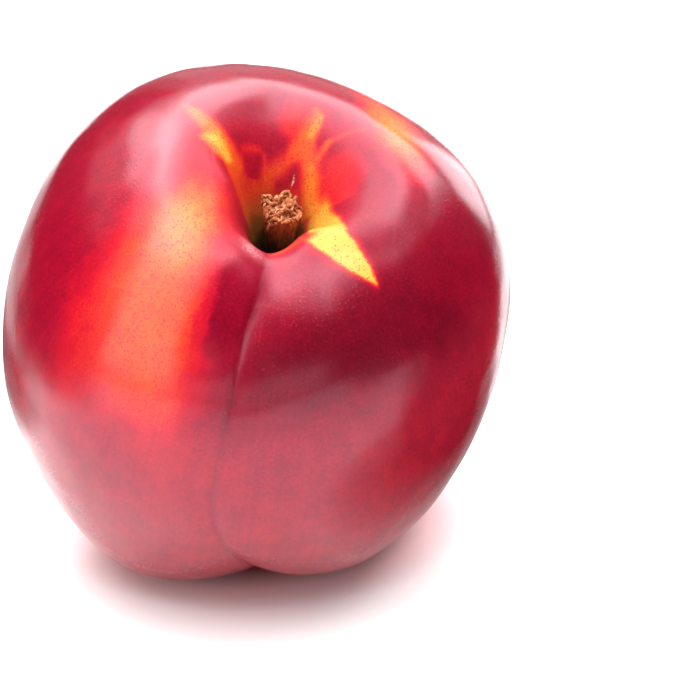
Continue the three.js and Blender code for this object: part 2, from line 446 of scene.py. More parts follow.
@dataclass(frozen=True)
class Skin:
    """The whole skin of the fruit, from the floor of the cavity to the scar at the tip.

    Attributes:
        scab_at: The azimuth and polar angle of the dry scab at the cavity's rim.
        scar_radius: The radius of that scab and of the scar at the tip, in radians.
        scar_depth: How deep the scar at the tip is.
        columns: How many columns of faces run from the cavity to the tip.
        cavity_rings: How many rings of faces the cavity has.
        flank_rings: How many rings the rest has.
        inset: How far the fine skin lies inside the faceted solid, so that it stays in its box.
    """

    pose: RestPose
    stalk: Stalk
    half_width: float = 35.8
    half_thickness: float = 35.5
    top_height: float = 33.5
    base_height: float = 35.0
    taper: float = 0.045
    tip_shift: Spot = (-1.5, -2.5)
    suture: Suture = field(default_factory=Suture)
    swells: tuple[Swell, ...] = (
        Swell(-30, 124, 19, 2.8),
        Swell(25, 117, 22, 1.7),
        Swell(-90, 85, 40, -0.5),
        Swell(90, 80, 40, -2.5),
        Swell(-150, 60, 35, 2.4),
        Swell(-70, 120, 35, 1.8),
        Swell(-90, 50, 30, -0.9),
        Swell(90, 50, 30, 3.6),
        Swell(178, 20, 10, -1.0),
        Swell(-20, 21, 6, 0.5),
        Swell(16, 38, 12, 0.45),
        Swell(60, 14, 6, 1.4),
        Swell(162, 25, 6, 0.45),
    )
    cavity_depth: float = 18.3
    well_depth: float = 3.4
    open_wall: Wall = Wall(0, 0, 8.7, 1.7)
    steep_walls: tuple[Wall, ...] = (Wall(-80, 55, 4.7, 2.4), Wall(28, 24, 6.6, 2.2))
    scab_at: Spot = (-20.0, 17.2)
    scar_radius: float = 0.035
    scar_depth: float = 0.5
    columns: int = 360
    cavity_rings: int = 112
    flank_rings: int = 148
    cavity_end: float = 25.0
    inset: float = 0.09

    def cavity(self, points: Array, rise: Array) -> Array:
        """Gives how far the skin is sunk near the stalk axis.

        Args:
            points: Points of the flesh, before the cavity is sunk.
            rise: The cosine of their polar angle.

        Returns:
            The depth at each point, in millimetres.
        """
        azimuth = np.arctan2(points[..., 0], -points[..., 1])
        radius = np.full(azimuth.shape, self.open_wall.radius)
        steepness = np.full(azimuth.shape, self.open_wall.steepness)
        for wall in self.steep_walls:
            share = bell(np.cos(azimuth - math.radians(wall.azimuth)), wall.spread)
            radius += (wall.radius - self.open_wall.radius) * share
            steepness += (wall.steepness - self.open_wall.steepness) * share
        distance = np.hypot(points[..., 0], points[..., 1])
        bowl = np.exp(-((distance / radius) ** steepness)) * smoothstep(rise, 0.0, 0.25)
        return self.cavity_depth * bowl

    def well(self, points: Array, rise: Array) -> Array:
        """Gives how far the skin dips under the stalk's foot, with a narrow crevice round it.

        Args:
            points: Points of the flesh.
            rise: The cosine of their polar angle.

        Returns:
            The depth at each point, in millimetres.
        """
        foot = self.stalk.foot
        distance = np.hypot(points[..., 0] - foot[0], points[..., 1] - foot[1])
        edge = self.stalk.radius + self.stalk.gap
        return self.well_depth * (1.0 - smoothstep(distance, edge - 0.5, edge + 0.7)) * (rise > 0)

    def relief(self, points: Array, way: Array) -> Array:
        """Gives the fine swells of a real skin, its ribs beside the suture and its scab.

        Args:
            points: Points of the skin, in millimetres.
            way: Their directions from the middle of the fruit.

        Returns:
            How far each point moves out, in millimetres.
        """
        azimuth = np.arctan2(way[..., 0], -way[..., 1])
        flank = 1.0 - smoothstep(np.abs(way[..., 2]), 0.75, 0.95)
        soft = 0.05 * rough_ground(points, 16.0, 3) + 0.03 * rough_ground(points, 6.0, 4)
        ribs = 0.005 * np.sin(azimuth * 41 + 3 * way[..., 2]) * np.sin(azimuth * 17 + 1.0) * flank
        from_scab = np.linalg.norm(way - np.array(patch_direction(*self.scab_at)), axis=-1)
        scab = hump(from_scab, self.scar_radius) * (0.12 + 0.06 * rough_ground(points, 0.7, 5))
        return soft + ribs + scab

    def point(self, polar: Array, from_line: Array) -> tuple[Array, Array]:
        """Gives the skin at a polar angle and an angle round from the suture.

        Args:
            polar: Angle from +Z, in radians.
            from_line: Angle round from the suture's line, in radians.

        Returns:
            The points in the fruit's frame, and their directions from its middle.
        """
        polar, from_line = np.broadcast_arrays(polar, from_line)
        way = direction(from_line + self.suture.azimuth(polar), polar)
        rise = np.cos(polar)
        wide = 1.0 + self.taper * rise
        to_tip = ((1.0 - rise) / 2.0) ** 2
        height = np.where(rise > 0, self.top_height, self.base_height)
        points = np.stack(
            [
                way[..., 0] * self.half_width * wide + self.tip_shift[0] * to_tip,
                way[..., 1] * self.half_thickness * wide + self.tip_shift[1] * to_tip,
                rise * height,
            ],
            axis=-1,
        )
        outward = np.full(rise.shape, -self.inset)
        for swell in self.swells:
            centre = np.array(patch_direction(swell.azimuth, swell.polar))
            outward += swell.height * bell(way @ centre, swell.spread)
        points = points + way * outward[..., None]
        points = points - way * self.suture.sunk(points, from_line, rise)[..., None]
        points[..., 2] -= self.cavity(points, rise) + self.well(points, rise)
        points = points + way * self.relief(points, way)[..., None]
        scar = self.scar_depth * hump(math.pi - polar, self.scar_radius)
        points[..., 2] -= scar * (1.0 + 0.3 * rough_ground(points, 1.2, 6))
        return points, way

    def rings(self) -> Array:
        """Spaces the rings close together in the cavity and evenly elsewhere.

        Returns:
            Their polar angles, in radians.
        """
        inside = np.linspace(0, 1, self.cavity_rings + 1)[1:] ** 1.15 * self.cavity_end
        outside = np.linspace(self.cavity_end, 180, self.flank_rings + 2)[1:-1]
        return np.radians(np.concatenate([inside, outside]))

    def build(self) -> Object:
        """Builds the skin, with the direction of each point kept for its finish.

        Returns:
            The piece.
        """
        half = self.columns // 2
        share = (np.arange(self.columns) - half) / half
        from_line = math.pi * np.sign(share) * np.abs(share) ** 1.15
        rings, ways = self.point(self.rings()[:, None], from_line[None, :])
        (first,), (first_way,) = self.point(np.array([0.0]), np.array([0.0]))
        (last,), (last_way,) = self.point(np.array([math.pi]), np.array([0.0]))
        points, faces = closed_skin(first, rings, last)
        placed = self.pose.place(points)
        placed[:, 2] = np.maximum(placed[:, 2], 0.0)
        piece = smooth_piece("fruit_skin", placed, faces)
        kept = piece.data.attributes.new("way", "FLOAT_VECTOR", "POINT")
        every_way = np.concatenate([first_way[None], ways.reshape(-1, 3), last_way[None]])
        kept.data.foreach_set("vector", every_way.astype(np.float32).ravel())
        across = np.hypot(rings[..., 0], rings[..., 1]) * np.sin(from_line)
        crease = hump(across, self.suture.crease_width) * (np.abs(from_line) < math.pi / 2)
        kept = piece.data.attributes.new("crease", "FLOAT", "POINT")
        every_crease = np.concatenate([[0.0], crease.ravel(), [0.0]])
        kept.data.foreach_set("value", every_crease.astype(np.float32))
        return piece


# ---- The skin's finish -----------------------------------------------------------------------


@dataclass(frozen=True)
class Patch:
    """A rounded patch where the blush is deeper or thinner than round it.

    Attributes:
        azimuth: The azimuth of its middle.
        polar: The polar angle of its middle.
        turn: Degrees that its length is turned from the line to the tip, towards +X.
        length: Its half length, in degrees as seen from the fruit's middle.
        width: Its half width, in the same degrees.
        blush: The blush in it, from 0 for bare yellow ground to 1 for the deepest red.
        strength: How much of that shows, from 0 to 1.
        edge: How soft its edge is, as a share of its size.
    """

    azimuth: float
    polar: float
    turn: float
    length: float
    width: float
    blush: float
    strength: float = 1.0
    edge: float = 0.9
    GROUP: ClassVar[str] = "rounded patch"
    DEPTH: ClassVar[float] = 0.7  # along the line to the fruit's middle, which is 1 away

    def inputs(self) -> dict[str, Any]:
        """Works out the patch's own frame, with its length along X and its middle up Z.

        Returns:
            What goes into the patch group, by name.
        """
        centre = patch_direction(self.azimuth, self.polar)
        down = patch_direction(self.azimuth, self.polar + 90)
        turn, length, width = map(math.radians, (self.turn, self.length, self.width))
        along = down * math.cos(turn) + centre.cross(down) * math.sin(turn)
        frame = Matrix((along, centre.cross(along), centre)).transposed()
        size = (math.sin(length), math.sin(width), self.DEPTH)
        return {"Centre": centre, "Turn": frame.to_euler("XYZ"), "Size": size, "Edge": self.edge}


@dataclass(frozen=True)
class Streak:
    """A streak of the skin round the cavity, as seen along the stalk axis.

    Attributes:
        start: Where it starts, in x and y.
        stop: Where it ends.
        half_widths: Its half width at the start and at the end.
        belly: How much wider it is halfway.
        blush: The blush in it, as for a patch.
        strength: How much of that shows, from 0 to 1.
        soft: How far its edge fades, in millimetres.
    """

    start: Spot
    stop: Spot
    half_widths: Spot
    belly: float
    blush: float
    strength: float = 1.0
    soft: float = 0.5
    GROUP: ClassVar[str] = "tapered streak"

    def inputs(self) -> dict[str, Any]:
        """Works out the streak's own frame, with its run along X.

        Returns:
            What goes into the streak group, by name.
        """
        run = Vector(self.stop) - Vector(self.start)
        return {
            "Start": (*self.start, 0.0),
            "Turn": (0.0, 0.0, math.atan2(run.y, run.x)),
            "Size": (run.length, 1.0, 1.0),
            "Start half width": self.half_widths[0],
            "End half width": self.half_widths[1],
            "Belly": self.belly,
            "Soft": self.soft,
        }


def patch_group() -> None:
    """Makes the group that gives 1 inside a rounded patch and 0 outside it."""
    frame = dict.fromkeys(("Way", "Centre", "Turn", "Size"), "Vector")
    graph = new_group(Patch.GROUP, frame | {"Edge": "Float"}, "Float")
    given = graph.add("NodeGroupInput").outputs
    local = graph.add("Mapping", *(given[name] for name in frame), vector_type="TEXTURE")
    reach = graph.add("VectorMath", local, operation="LENGTH")
    outer = graph.add("Math", 1.0, given["Edge"], operation="ADD")
    inner = graph.add("Math", 1.0, given["Edge"], operation="SUBTRACT")
    share = graph.add("MapRange", reach, outer, inner, interpolation_type="SMOOTHERSTEP")
    graph.add("NodeGroupOutput", share)


def streak_group() -> None:
    """Makes the group that gives 1 inside a tapered streak round the cavity and 0 outside it."""
    frame = dict.fromkeys(("Place", "Start", "Turn", "Size"), "Vector")
    numbers = dict.fromkeys(("Start half width", "End half width", "Belly", "Soft"), "Float")
    graph = new_group(Streak.GROUP, frame | numbers, "Float")
    given = graph.add("NodeGroupInput").outputs
    local = graph.add("Mapping", *(given[name] for name in frame), vector_type="TEXTURE")
    parts = graph.add("SeparateXYZ", local).outputs
    along, height = parts["X"], parts["Z"]
    aside = graph.add("Math", parts["Y"], operation="ABSOLUTE")
    ends = (given["Start half width"], given["End half width"])
    half = graph.add("MapRange", along, 0.0, 1.0, *ends)
    # Halfway along, along * (1 - along) is a quarter.
    past = graph.add("Math", 1.0, along, operation="SUBTRACT")
    arch = graph.add("Math", along, past, operation="MULTIPLY")
    arch = graph.add("Math", arch, given["Belly"], operation="MULTIPLY")
    half = graph.add("Math", arch, 4.0, half, operation="MULTIPLY_ADD")
    outer = graph.add("Math", half, given["Soft"], operation="ADD")
    inner = graph.add("Math", half, given["Soft"], operation="SUBTRACT")
    share = graph.add("MapRange", aside, outer, inner, interpolation_type=SMOOTH)
    # It fades at both ends, and at 10 to 4 mm over the fruit's middle, so that the tip has none.
    for place, none, full in ((along, -0.12, 0.12), (along, 1.06, 0.94), (height, 4.0, 10.0)):
        inside = graph.add("MapRange", place, none, full, interpolation_type=SMOOTH)
        share = graph.add("Math", share, inside, operation="MULTIPLY")
    graph.add("NodeGroupOutput", share)


def share_of(mark: Patch | Streak, graph: Graph, point: Any) -> Node:
    """Adds the node that gives 1 inside a patch or streak and 0 outside it."""
    group = bpy.data.node_groups[mark.GROUP]
    return graph.add("Group", point, inputs=mark.inputs(), node_tree=group)


@dataclass(frozen=True)
class Noise:
    """An uneven pattern in a finish.

    Attributes:
        scale: How many of its features fit in one unit of the place where it is read.
        detail: How many finer steps it has.
        roughness: How strong those are.
        amount: How much it adds where it is highest.
    """

    scale: float
    detail: float
    roughness: float
    amount: float = 1.0

    def inputs(self) -> dict[str, float]:
        """Gives what goes into its node, by name."""
        return {"Scale": self.scale, "Detail": self.detail, "Roughness": self.roughness}


@dataclass(frozen=True)
class NectarineSkin:
    """Ripe nectarine skin: hairless waxed cuticle over red blush on yellow ground.

    The eye sees a deep crimson that thins to scarlet, coral and yellow in patches, fine dots, and
    a clear satin gloss.

    Attributes:
        blush: The blush where no patch or streak changes it.
        colours: The skin's colour from bare ground to the deepest blush.
        dot_spacing: Millimetres between the fine dots.
        foot: The colour of the skin round the foot of the stalk.
        waxless: The hollow beside the suture that has little wax.
        scars: The dry scars, each with a colour that takes the place of its blush.
        wander: How the edges of the patches and streaks stray.
        wander_by: How far they do, as a direction for patches and in millimetres for streaks.
        lines: Faint lines from the cavity to the tip.
        stipple: The cells that the blush is laid down in, which show where it thins.
        mottle: Its wide unevenness.
        crease_blush: How much deeper the blush is in the suture's crease.
        dot_edge: Where a dot fades out and where it is full, from its middle, in spacings.
        dot_lift: What a dot adds to the blush on bare ground, and on deep blush.
        foot_heights: The heights between which the skin turns to the foot's colour.
        cavity: The cosines of the polar angle between which the cavity begins.
        roughness: The least and the most roughness outside the cavity.
        cavity_roughness: How much is added to it inside.
        coat: The weight of the wax where it is whole and where it is gone.
        gloss: The specular level there.
    """

    pose: RestPose
    blush: float = 0.68
    colours: Mapping[float, str] = field(
        default_factory=lambda: {
            0.0: "#cb9e3c",
            0.14: "#c97c26",
            0.30: "#c65018",
            0.44: "#be301b",
            0.56: "#ad1020",
            0.70: "#830720",
            0.84: "#620518",
            1.0: "#46030f",
        }
    )
    dot_spacing: float = 0.45
    foot: str = "#5a4718"
    wander: Noise = Noise(7.0, 3.0, 0.6)
    wander_by: Spot = (0.10, 1.6)
    lines: Noise = Noise(1.3, 4.0, 0.65, 0.08)
    stipple: Noise = Noise(2.8, 3.0, 0.75, 0.24)
    mottle: Noise = Noise(0.35, 3.0, 0.55, 0.14)
    crease_blush: float = 0.05
    dot_edge: Spot = (0.36, 0.14)
    dot_lift: Spot = (0.24, -0.05)
    foot_heights: Spot = (24.0, 17.5)
    cavity: Spot = (0.90, 0.96)
    roughness: Spot = (0.12, 0.27)
    cavity_roughness: float = 0.32
    coat: Spot = (0.3, 0.0)
    gloss: Spot = (0.5, 0.12)
    waxless: Patch = Patch(-17, 30, -4, 11, 5.5, 1.0, 1.0, 0.35)
    scars: tuple[tuple[Patch, str], ...] = (
        (Patch(-21, 17.2, 60, 2.3, 1.4, 1.0, 0.6, 0.8), "#c98f96"),  # dry scab at the rim
        (Patch(157, 10.2, 0, 0.9, 0.22, 1.0, 0.6, 0.6), "#e8c4b0"),  # pale thread in the hollow
        (Patch(0, 179, 0, 4.5, 4.0, 1.0, 1.0, 0.6), "#5b3a20"),  # brown scar of the blossom
    )
    patches: tuple[Patch, ...] = (
        Patch(0, 66, 90, 60, 24, 0.68, 0.8),  # front, below the shoulders
        Patch(33, 41, 90, 40, 11, 0.88, 0.95),  # deep red right of the suture
        Patch(-100, 58, 0, 22, 26, 0.74, 0.7),  # deep red at the left shoulder
        Patch(178, 35, 90, 40, 12, 0.76, 0.8),  # and behind the cavity
        Patch(-55, 50, 12, 28, 8, 0.55, 0.95),  # scarlet left cheek
        Patch(-40, 47, 20, 34, 13, 0.50, 0.9),  # coral round the bare patch
        Patch(-42, 42, 22, 25, 9, 0.34, 0.95),  # bare orange patch
        Patch(-57, 23, 40, 9, 6, 0.20, 0.85),  # its yellow upper end
        Patch(-17, 32, -4, 12, 5.5, 0.79, 1.0, 0.35),  # crimson beside the suture
        Patch(-25.5, 37, 4, 8, 1.5, 0.57, 0.8, 0.6),  # scarlet edge of it
        Patch(70, 55, 0, 15, 8, 0.62, 0.8),  # lighter red at the right cheek
        Patch(80, 36, 0, 17, 22, 0.80, 0.75),  # deep red right of the cavity
        Patch(127, 32, 62, 14, 5, 0.17, 0.9),  # orange at the right shoulder
        Patch(150, 75, 20, 34, 24, 0.46, 0.7),  # shaded back, little blush
        Patch(10, 23, 90, 14, 6, 0.70, 0.6),  # thinner red before the cavity
        Patch(-36, 80, 0, 16, 14, 0.69, 0.9),  # below the coral
        Patch(-10, 150, 0, 48, 60, 0.66, 0.9),  # shaded underside
    )
    streaks: tuple[Streak, ...] = (
        Streak((1.6, 10.6), (3.4, 15.4), (0.9, 1.5), 0.3, 0.46, 0.75, 1.2),  # brighter red behind
        Streak((8.7, 7.2), (8.0, 0.4), (1.9, 2.1), 0.6, 0.50, 0.85, 1.5),  # scarlet right wall
        Streak((-4.7, 5.2), (-9.4, 8.2), (1.9, 1.8), 0.0, 0.32, 0.9, 0.9),  # left arm
        Streak((-7.2, 4.5), (-9.8, 7.6), (1.0, 1.0), 0.0, 0.26, 0.9, 0.6),  # along the rim
        Streak((-8.4, 7.4), (-12.3, 13.8), (1.6, 0.7), 0.1, 0.34, 0.9, 0.9),
        Streak((-6.0, 5.3), (-9.2, 8.1), (0.9, 1.0), 0.0, 0.02, 0.9, 0.8),  # its yellow core
        Streak((-8.6, 7.8), (-11.8, 12.8), (0.9, 0.3), 0.0, 0.27, 0.8, 0.6),
        Streak((-5.4, 5.4), (-2.4, 1.8), (1.4, 1.6), 0.2, 0.36, 0.85, 0.9),  # its foot
        Streak((3.0, 8.4), (6.0, 14.2), (1.5, 0.7), 0.2, 0.32, 0.9, 0.9),  # right arm
        Streak((4.0, 9.0), (6.3, 13.0), (0.8, 0.4), 0.2, 0.16, 0.8, 0.7),  # its yellow core
        Streak((4.6, 9.9), (-1.6, 6.4), (1.0, 0.9), 0.0, 0.36, 0.85, 0.8),  # its left foot
        Streak((4.5, 9.6), (5.1, 2.2), (1.0, 1.3), 0.1, 0.32, 0.9, 0.8),  # its right foot
        Streak((4.8, 7.2), (5.2, 2.0), (0.5, 0.8), 0.1, 0.20, 0.8, 0.7),
        Streak((-4.4, 4.9), (0.2, 6.4), (0.9, 0.9), 0.1, 0.42, 0.85, 0.8),  # join of the two arms
        Streak((-4.7, 8.3), (-1.8, 9.0), (0.3, 0.25), 0.1, 0.38, 0.6, 0.5),  # ring round the island
        Streak((-1.5, 8.9), (-1.0, 6.4), (0.25, 0.35), 0.1, 0.40, 0.6, 0.5),
        Streak((-3.1, 8.4), (-2.6, 6.2), (0.8, 0.9), 0.4, 0.66, 0.8, 0.7),  # the dark island
        Streak((5.6, 7.2), (7.7, 9.1), (0.4, 0.35), 0.1, 0.26, 0.8, 0.5),  # thin arc
        Streak((7.3, 8.9), (12.2, 10.5), (0.35, 0.2), 0.1, 0.30, 0.7, 0.5),
        Streak((-2.6, 3.2), (3.4, 3.4), (2.2, 2.0), 0.0, 0.40, 0.7, 1.2),  # cavity floor
        Streak((-1.2, -10.6), (3.4, -8.6), (0.45, 0.8), 0.1, 0.32, 0.8, 0.6),  # near rim
        Streak((4.8, -8.3), (12.8, -15.7), (2.8, 0.2), 0.8, 0.50, 0.85, 0.8),  # wedge's red edge
        Streak((6.0, 2.4), (6.2, -8.6), (1.1, 2.5), 0.1, 0.06, 0.95, 0.5),  # wedge on the wall
        Streak((5.0, -8.5), (12.4, -15.3), (2.1, 0.0), 0.8, 0.0, 1.0, 0.35),  # yellow wedge
    )

    def painted(self, graph: Graph, place: Any, way: Any) -> Node:
        """Lays each patch and streak over the skin's own blush.

        Args:
            graph: The material's nodes.
            place: What gives the point in the fruit's frame.
            way: What gives its direction from the middle of the fruit.

        Returns:
            The node that gives the blush.
        """
        blush: Any = self.blush
        for mark in (*self.patches, *self.streaks):
            share = share_of(mark, graph, way if isinstance(mark, Patch) else place)
            share = graph.add("Math", share, mark.strength, operation="MULTIPLY")
            inputs = {"A": blush, "B": mark.blush}
            blush = graph.add("Mix", share, data_type="FLOAT", inputs=inputs)
        return blush

    def make(self) -> Material:
        """Makes the skin's material.

        Returns:
            The material.
        """
        patch_group()
        streak_group()
        material, graph, shader = new_material("ripe nectarine skin")
        place = self.pose.fruit_frame(graph)
        way = graph.add("Attribute", attribute_name="way").outputs["Vector"]

        # The edges of the patches and streaks wander by up to about 1 mm, as on a real skin.
        wander = graph.add("TexNoise", way, inputs=self.wander.inputs()).outputs["Color"]
        wandered = []
        for reach, start in zip(self.wander_by, (way, place)):
            by = (wander, (reach,) * 3, (-0.5 * reach,) * 3)
            offset = graph.add("VectorMath", *by, operation="MULTIPLY_ADD")
            wandered.append(graph.add("VectorMath", start, offset, operation="ADD"))
        way_there, place_there = wandered
        blush = self.painted(graph, place_there, way_there)

        # Faint lines run from the cavity to the tip, about 0.7 mm apart at the widest.
        level = graph.add("VectorMath", way, (1.0, 1.0, 0.0), operation="MULTIPLY")
        round_axis = graph.add("VectorMath", level, operation="NORMALIZE")
        lines_at = graph.add("VectorMath", round_axis, (40.0,) * 3, way, operation="MULTIPLY_ADD")
        lines = graph.add("TexNoise", lines_at, inputs=self.lines.inputs())
        stipple = graph.add("TexNoise", place, inputs=self.stipple.inputs())
        mottle = graph.add("TexNoise", place, inputs=self.mottle.inputs())
        inputs = {"Scale": 1.0 / self.dot_spacing, "Randomness": 0.9}
        cells = graph.add("TexVoronoi", place, inputs=inputs)
        dots = graph.add("MapRange", cells, *self.dot_edge, interpolation_type=SMOOTH)
        amounts = [noise.amount for noise in (self.lines, self.stipple, self.mottle)]
        for noise, amount in zip((lines, stipple, mottle), amounts):
            blush = graph.add("Math", noise, amount, blush, operation="MULTIPLY_ADD")
        # These noises lie round 0.5, so half of their amounts is taken off again.
        too_much = 0.5 * sum(amounts)
        blush = graph.add("Math", blush, too_much, operation="SUBTRACT")

        # Dots are red on bare ground, and pale on deep blush.
        lift = graph.add("MapRange", blush, 0.2, 0.75, *self.dot_lift)
        blush = graph.add("Math", dots, lift, blush, operation="MULTIPLY_ADD")
        crease = graph.add("Attribute", attribute_name="crease").outputs["Fac"]
        blush = graph.add("Math", crease, self.crease_blush, blush, operation="MULTIPLY_ADD")
        colour = graph.add("ValToRGB", blush)
        paint_ramp(colour, self.colours)
        rise = graph.add("SeparateXYZ", way).outputs["Z"]
        dull = graph.add("MapRange", rise, *self.cavity, interpolation_type=SMOOTH)
        # Deeper in the cavity, round the foot of the stalk, the skin is mixed towards a dark olive
        # brown.
        height = graph.add("SeparateXYZ", place).outputs["Z"]
        ends = (*self.foot_heights, 0.0, 0.85)
        deep = graph.add("MapRange", height, *ends, interpolation_type=SMOOTH)
        share = graph.add("Math", deep, dull, operation="MULTIPLY")
        inputs = {"A": colour, "B": linear(self.foot)}
        colour = graph.add("Mix", share, data_type="RGBA", inputs=inputs)
        for scar, shade in self.scars:
            inside = share_of(scar, graph, way_there)
            ends = (0.42, 0.55, 0.0, scar.strength)
            torn = graph.add("MapRange", stipple, *ends, interpolation_type=SMOOTH)
            share = graph.add("Math", inside, torn, operation="MULTIPLY")
            inputs = {"A": colour, "B": linear(shade)}
            colour = graph.add("Mix", share, data_type="RGBA", inputs=inputs)

        # The skin is dull inside the cavity, where no hand or leaf has rubbed it.
        rough = graph.add("MapRange", stipple, 0.0, 1.0, *self.roughness)
        rough = graph.add("Math", dull, self.cavity_roughness, rough, operation="MULTIPLY_ADD")
        # It has little wax there, and in the hollow beside the suture.
        hollow = share_of(self.waxless, graph, way_there)
        inside = graph.add("Math", dull, 0.6, operation="MULTIPLY")
        bare = graph.add("Math", inside, hollow, operation="MAXIMUM")
        coat = graph.add("MapRange", bare, 0.0, 1.0, *self.coat)
        gloss = graph.add("MapRange", bare, 0.0, 1.0, *self.gloss)
        inputs = {"Strength": 0.25, "Distance": 0.04 * MM, "Height": dots}
        looks = {
            "Base Color": colour,
            "Roughness": rough,
            "IOR": 1.45,
            "Specular IOR Level": gloss,
            "Specular Tint": linear("#ffe4fc"),
            "Coat Weight": coat,
            "Coat Roughness": 0.16,
            "Coat IOR": 1.45,
            "Subsurface Weight": 0.08,
            "Subsurface Radius": (1.0, 0.35, 0.15),
            "Subsurface Scale": 1.5 * MM,
            "Normal": graph.add("Bump", inputs=inputs),
        }
        graph.feed(shader, looks)
        return material


# ---- The stalk -------------------------------------------------------------------------------


@dataclass(frozen=True)
class StalkWood:
    """Dried stalk wood, torn across: greenish, darkened at the foot by painted shade from the
    cavity, tan where the fibres broke.

    The eye sees dull ridges with fine lighter fibres up the stalk.

    Attributes:
        name: What to call it.
        colours: The wood's colour from its shaded grooves to its bright fibres.
        along: How much slower its grain changes along the stalk than across it.
        fibre: The grain across it: wood fibres 0.1 to 0.3 mm thick.
        roughness: The least and the most roughness.
        heights: The heights between which its painted shade lifts and it turns lighter.
        shade_and_tear_lift: Added to its tone there: painted shade at the foot, a lighter torn top.
    """

    pose: RestPose
    name: str
    colours: Mapping[float, str]
    along: float = 0.18
    fibre: Noise = Noise(3.2, 4.0, 0.7)
    roughness: Spot = (0.55, 0.85)
    heights: Spot = (17.5, 25.5)
    shade_and_tear_lift: Spot = (-0.25, 0.35)

    def make(self) -> Material:
        """Makes the wood's material.

        Returns:
            The material.
        """
        material, graph, shader = new_material(self.name)
        place = self.pose.fruit_frame(graph)
        grain = graph.add("VectorMath", place, (1.0, 1.0, self.along), operation="MULTIPLY")
        fibre = graph.add("TexNoise", grain, inputs=self.fibre.inputs())
        height = graph.add("SeparateXYZ", place).outputs["Z"]
        # Painted shade: the wood is darkened towards its foot, deep in the cavity, and lighter
        # towards its torn top.
        rise = graph.add("MapRange", height, *self.heights, *self.shade_and_tear_lift)
        tone = graph.add("Math", fibre, rise, operation="ADD")
        colour = graph.add("ValToRGB", tone)
        paint_ramp(colour, self.colours)
        rough = graph.add("MapRange", fibre, 0.0, 1.0, *self.roughness)
        inputs = {"Strength": 0.6, "Distance": 0.2 * MM, "Height": fibre}
        bump = graph.add("Bump", inputs=inputs)
        graph.feed(shader, {"Base Color": colour, "Roughness": rough, "Normal": bump, "IOR": 1.5})
        return material


@dataclass(frozen=True)
class StalkStub:
    """The stub of the stalk: a ribbed woody cylinder, cut square and torn across its end.

    Attributes:
        columns: How many columns of faces run round it.
        side_rings: How many rings its side has.
        end_rings: How many rings its torn end has.
    """

    pose: RestPose
    stalk: Stalk
    columns: int = 120
    side_rings: int = 70
    end_rings: int = 26

    def radius(self, share: Array, angle: Array) -> Array:
        """Gives the stub's radius.

        Args:
            share: The share of its height.
            angle: The angle round it from -Y, in radians.

        Returns:
            The radius there, in millimetres.
        """
        waist = 1.0 - 0.06 * np.sin(math.pi * share)
        torn_end = 1.0 + 0.08 * smoothstep(share, 0.6, 0.95)
        ribs = 0.05 * np.sin(7 * angle + 4 * share) * smoothstep(share, 0.2, 0.6)
        fine = 0.022 * np.sin(23 * angle + 2.5 * np.sin(6 * share)) + 0.012 * np.sin(41 * angle)
        lopsided = 1.0 + 0.04 * np.sin(2 * angle + 1.0)
        return self.stalk.radius * waist * torn_end * (1.0 + ribs + fine) * lopsided

    def end_height(self, reach: Array, angle: Array) -> Array:
        """Gives how far the torn end stands above or below its mean height."""
        lumps = np.sin(3 * angle + 0.6) * reach + np.sin(5 * angle + 2.0) * reach**2
        return 0.3 * lumps - 0.45 * reach**4

    def at(self, share: Array, reach: Array, angle: Array) -> Array:
        """Gives a point of the stub.

        Args:
            share: The share of its height.
            reach: The share of its radius.
            angle: The angle round it from -Y, in radians.

        Returns:
            The points in the fruit's frame, in millimetres.
        """
        share, reach, angle = np.broadcast_arrays(share, reach, angle)
        foot, top = np.array(self.stalk.foot), np.array(self.stalk.top)
        radius = self.radius(share, angle) * reach
        outward = np.stack([np.sin(angle), -np.cos(angle), np.zeros(angle.shape)], axis=-1)
        points = foot + (top - foot) * share[..., None] + outward * radius[..., None]
        on_end = smoothstep(share, 0.93, 1.0)
        points[..., 2] += self.end_height(reach, angle) * on_end
        crumbs = 0.26 * rough_ground(points, 1.5, 11) + 0.14 * rough_ground(points, 0.7, 12)
        points[..., 2] += crumbs * smoothstep(share, 0.85, 1.0)
        bark = 0.05 * rough_ground(points * np.array([1, 1, 0.25]), 0.7, 13)
        return points + outward * (bark * smoothstep(reach, 0.5, 1.0))[..., None]

    def build(self) -> Object:
        """Builds the stub.

        Returns:
            The piece.
        """
        angle = -2 * math.pi * np.arange(self.columns) / self.columns
        side = np.linspace(0, 1, self.side_rings)
        end = np.linspace(1, 0, self.end_rings + 1)[1:-1]
        share = np.concatenate([[0.0], side, np.ones(len(end))])
        reach = np.concatenate([[0.6], np.ones(len(side)), end])
        rings = self.at(share[:, None], reach[:, None], angle[None, :])
        zero = np.array([0.0])
        (first,) = self.at(zero, zero, zero)
        (last,) = self.at(np.array([1.0]), zero, zero)
        points, faces = closed_skin(first, rings, last)
        return smooth_piece("stalk_stub", self.pose.place(points), faces)


